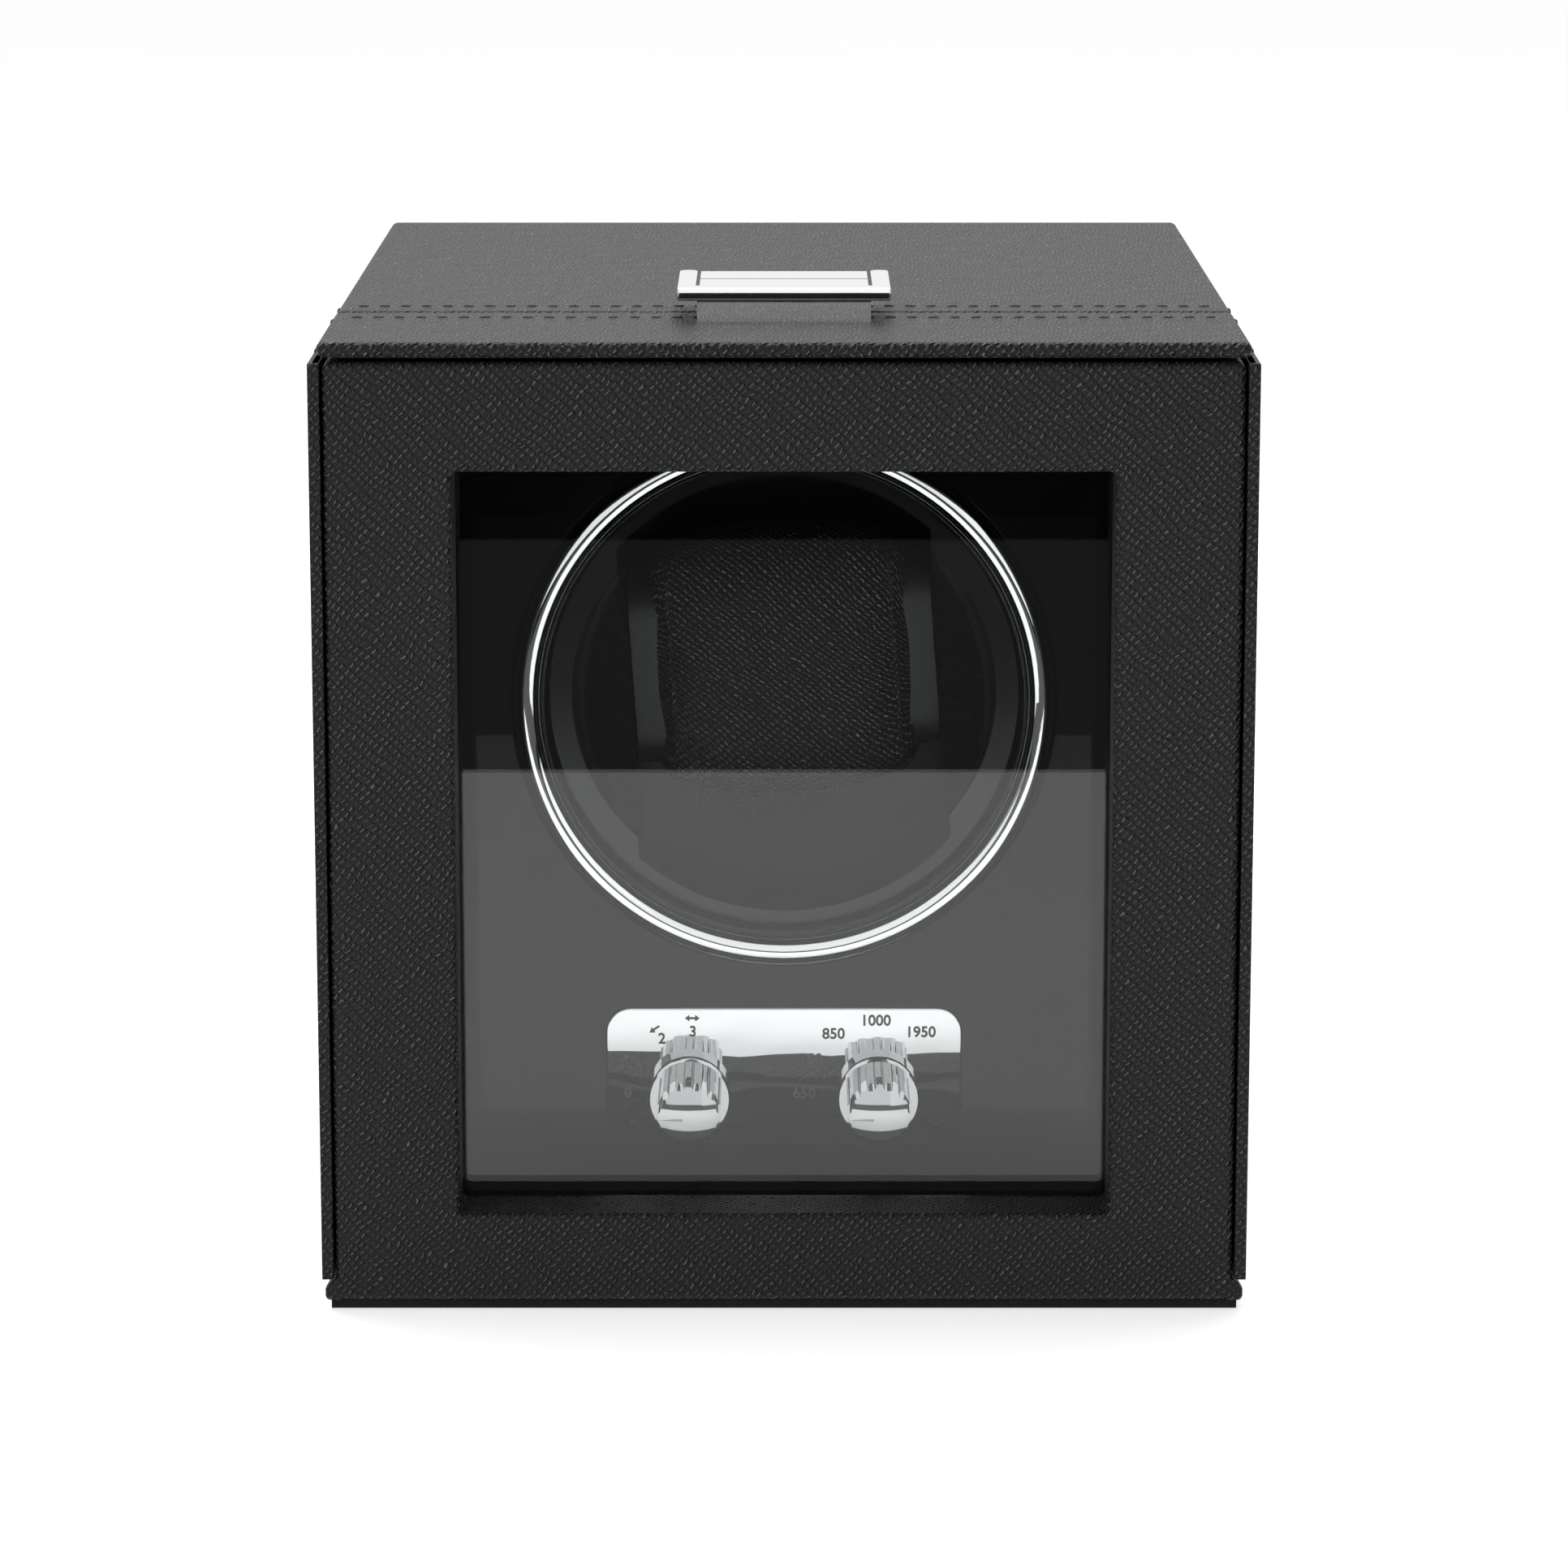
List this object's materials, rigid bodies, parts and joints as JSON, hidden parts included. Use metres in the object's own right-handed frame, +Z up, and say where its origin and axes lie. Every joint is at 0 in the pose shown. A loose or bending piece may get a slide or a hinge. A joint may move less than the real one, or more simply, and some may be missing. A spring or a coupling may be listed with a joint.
{
  "type": "watch winder box",
  "caption": "Leather-wrapped cabinet that winds a watch: glazed swing-down front with a top latch, belt-driven drum with a cushion, chrome control plate with rotary knobs.",
  "frame": {"origin": "on the ground under the middle of the box, at the centre of its outer box", "axes": "+X to the right as seen from the front, +Y from the door to the back, +Z up"},
  "size_m": [0.16, 0.192, 0.1745],
  "materials": {
    "base_felt": "matt felt-backed sheet",
    "board": "black-dyed fibreboard, matt",
    "black_leather": "black, cross-hatch embossed, satin",
    "cushion_leather": "black, cross-hatch embossed, padded",
    "gloss_fascia": "piano black",
    "gloss_drum": "gloss black moulding",
    "chrome": "polished",
    "steel": "plated",
    "motor_steel": "plated can",
    "switch_plastic": "matt black",
    "circuit_green": "solder mask green",
    "brass": "bright",
    "bronze": "oiled sintered bronze",
    "cast_black": "black painted",
    "belt_rubber": "matt",
    "pulley_plastic": "natural nylon",
    "black_insulation": "smooth",
    "red_insulation": "smooth",
    "window_glass": "clear, polished"
  },
  "bodies": {
    "case": {"base_sheet": "base_felt", "base_board": "board", "left_wall": "board", "right_wall": "board", "back_wall": "board", "case_leather": "black_leather", "rear_top_board": "board", "rear_top_leather": "black_leather", "fascia_battens": "board", "fascia_panel": "gloss_fascia", "fascia_screws": "steel", "bezel_ring": "chrome", "control_plate": "chrome", "direction_switch": "switch_plastic", "turns_switch": "switch_plastic", "circuit_board": "circuit_green", "board_standoffs": "brass", "carrier_board": "board", "bearing_block": "cast_black", "bearing_screws": "steel", "axle_bushings": "bronze", "gearmotor": "motor_steel", "motor_screws": "steel", "drive_belt": "belt_rubber", "power_inlet": "switch_plastic", "inlet_nut": "steel", "power_lead": "black_insulation", "motor_lead": "red_insulation", "latch_strike": "chrome", "strike_screws": "steel"},
    "cover": {"door_board": "board", "door_leather": "black_leather", "window_glass": "window_glass", "glass_retainer": "switch_plastic", "retainer_screws": "steel", "cover_screws": "steel", "strip_board": "board", "strip_leather": "black_leather", "latch_base": "chrome", "latch_frame": "chrome", "latch_screws": "steel", "latch_pin": "steel", "latch_spring": "steel"},
    "tongue": {"latch_tongue": "chrome"},
    "drum": {"drum_cup": "gloss_drum", "left_cheek": "gloss_drum", "right_cheek": "gloss_drum", "drum_axle": "steel", "drum_pulley": "pulley_plastic", "pulley_screws": "steel", "retaining_clip": "steel"},
    "motor_output": {"motor_shaft": "steel", "motor_pulley": "pulley_plastic"},
    "cushion": {"cushion_core": "switch_plastic", "cushion_cover": "cushion_leather"},
    "direction_knob": {"direction_knob": "chrome", "direction_shaft": "steel"},
    "turns_knob": {"turns_knob": "chrome", "turns_shaft": "steel"}
  },
  "joints": [
    {"name": "cover_hinge", "type": "hinge", "parent": "case", "child": "cover", "pos_m": [0, -0.0948, 0.0015], "axis": [1, 0, 0], "range_deg": [0, 90]},
    {"name": "tongue_press", "type": "hinge", "parent": "cover", "child": "tongue", "pos_m": [0, -0.056, 0.1708], "axis": [1, 0, 0], "range_deg": [0, 5], "stiffness_Nm_per_rad": 0.02, "springref_deg": -5.73, "deforming": ["latch_spring"]},
    {"name": "drum_spin", "type": "hinge", "parent": "case", "child": "drum", "pos_m": [0, 0, 0.101], "axis": [0, 1, 0], "continuous": true},
    {"name": "motor_spin", "type": "hinge", "parent": "case", "child": "motor_output", "pos_m": [-0.036, 0.03, 0.044], "axis": [0, 1, 0], "continuous": true},
    {"name": "cushion_slide", "type": "slide", "parent": "drum", "child": "cushion", "axis": [0, -1, 0], "range_m": [0, 0.04]},
    {"name": "direction_turn", "type": "hinge", "parent": "case", "child": "direction_knob", "pos_m": [-0.0168, -0.065, 0.0294], "axis": [0, 1, 0], "range_deg": [0, 90]},
    {"name": "turns_turn", "type": "hinge", "parent": "case", "child": "turns_knob", "pos_m": [0.0168, -0.065, 0.0294], "axis": [0, 1, 0], "range_deg": [0, 120]}
  ],
  "couplings": [
    {"joint": "motor_spin", "follows": "drum_spin", "ratio": 3}
  ]
}
